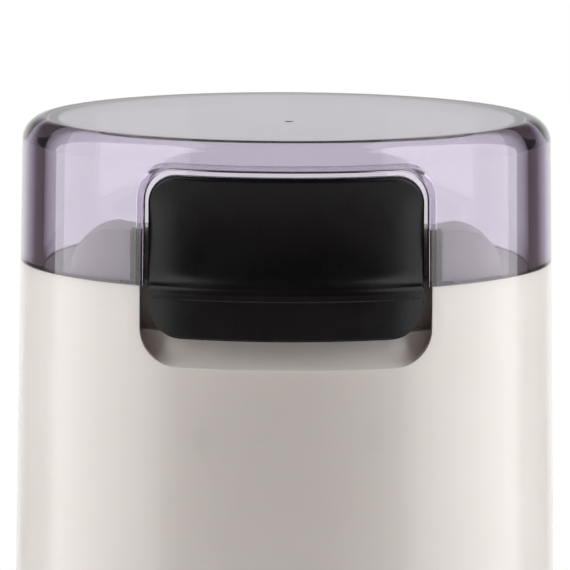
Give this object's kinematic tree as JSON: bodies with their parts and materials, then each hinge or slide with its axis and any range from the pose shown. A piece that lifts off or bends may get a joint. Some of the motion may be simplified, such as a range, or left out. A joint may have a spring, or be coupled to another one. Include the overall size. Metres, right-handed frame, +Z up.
{
  "type": "electric spice grinder",
  "caption": "Upright round blade grinder: a thick smoky clear lift-off lid with a niche for a broad black press button, over a gently flaring cream housing on rubber feet.",
  "frame": {"origin": "centre of the outline on the surface that the feet stand on", "axes": "+Z up along the axis of the bowl and motor, -Y towards the press button, +X to the right seen from the button's side"},
  "size_m": [0.0942, 0.0942, 0.1652],
  "materials": {
    "smoky_clear": "polished clear tint",
    "cream_gloss": "gloss moulded",
    "black_satin": "satin moulded",
    "charcoal_plastic": "fine moulded grain",
    "grey_plastic": "moulded",
    "red_plastic": "moulded",
    "yellow_plastic": "moulded",
    "white_nylon": "moulded",
    "bowl_steel": "spun brushed",
    "blade_steel": "ground and polished",
    "zinc_steel": "zinc plated",
    "core_steel": "stacked laminations",
    "copper_wire": "enamelled",
    "bronze": "sintered",
    "brass_sheet": "pressed",
    "carbon": "pressed",
    "black_rubber": "matt"
  },
  "bodies": {
    "housing": {"body_shell": "cream_gloss", "deck_ring": "cream_gloss", "deck_screws": "zinc_steel", "bowl_carrier": "grey_plastic", "grinding_bowl": "bowl_steel", "bowl_gasket": "black_rubber", "shaft_seal": "black_rubber", "stator_core": "core_steel", "field_coils": "copper_wire", "thermal_fuse": "zinc_steel", "upper_bracket": "grey_plastic", "lower_bracket": "grey_plastic", "bearing_bushes": "bronze", "motor_dampers": "black_rubber", "motor_bolts": "zinc_steel", "brush_holders": "brass_sheet", "carbon_brushes": "carbon", "brush_springs": "zinc_steel", "noise_capacitor": "yellow_plastic", "button_pivot_pin": "zinc_steel", "button_spring": "zinc_steel", "switch_body": "red_plastic", "switch_bracket": "grey_plastic", "bracket_screws": "zinc_steel", "lid_switch": "red_plastic", "base_cover": "charcoal_plastic", "base_screws": "zinc_steel", "rubber_feet": "black_rubber", "cord_grommet": "black_rubber"},
    "lid": {"lid": "smoky_clear"},
    "button": {"push_button": "black_satin"},
    "plunger": {"switch_plunger": "white_nylon"},
    "rotor": {"motor_shaft": "zinc_steel", "armature_core": "core_steel", "armature_winding": "copper_wire", "commutator": "copper_wire", "cooling_fan": "white_nylon", "blade": "blade_steel", "blade_spacer": "white_nylon", "blade_nut": "zinc_steel"}
  },
  "joints": [
    {"name": "lid_lift", "type": "slide", "parent": "housing", "child": "lid", "axis": [0, 0, 1], "range_m": [0, 0.07]},
    {"name": "button_press", "type": "hinge", "parent": "housing", "child": "button", "pos_m": [0, -0.0378, 0.1245], "axis": [-1, 0, 0], "range_deg": [0, 6], "stiffness_Nm_per_rad": 0.6, "springref_deg": -6.88, "deforming": ["button_spring"]},
    {"name": "switch_press", "type": "slide", "parent": "housing", "child": "plunger", "axis": [0, 0, -1], "range_m": [0, 0.0005]},
    {"name": "blade_spin", "type": "hinge", "parent": "housing", "child": "rotor", "pos_m": [0, 0, 0.1], "axis": [0, 0, 1], "continuous": true}
  ],
  "couplings": [
    {"joint": "switch_press", "follows": "button_press", "m_per_rad": 0.0044}
  ]
}
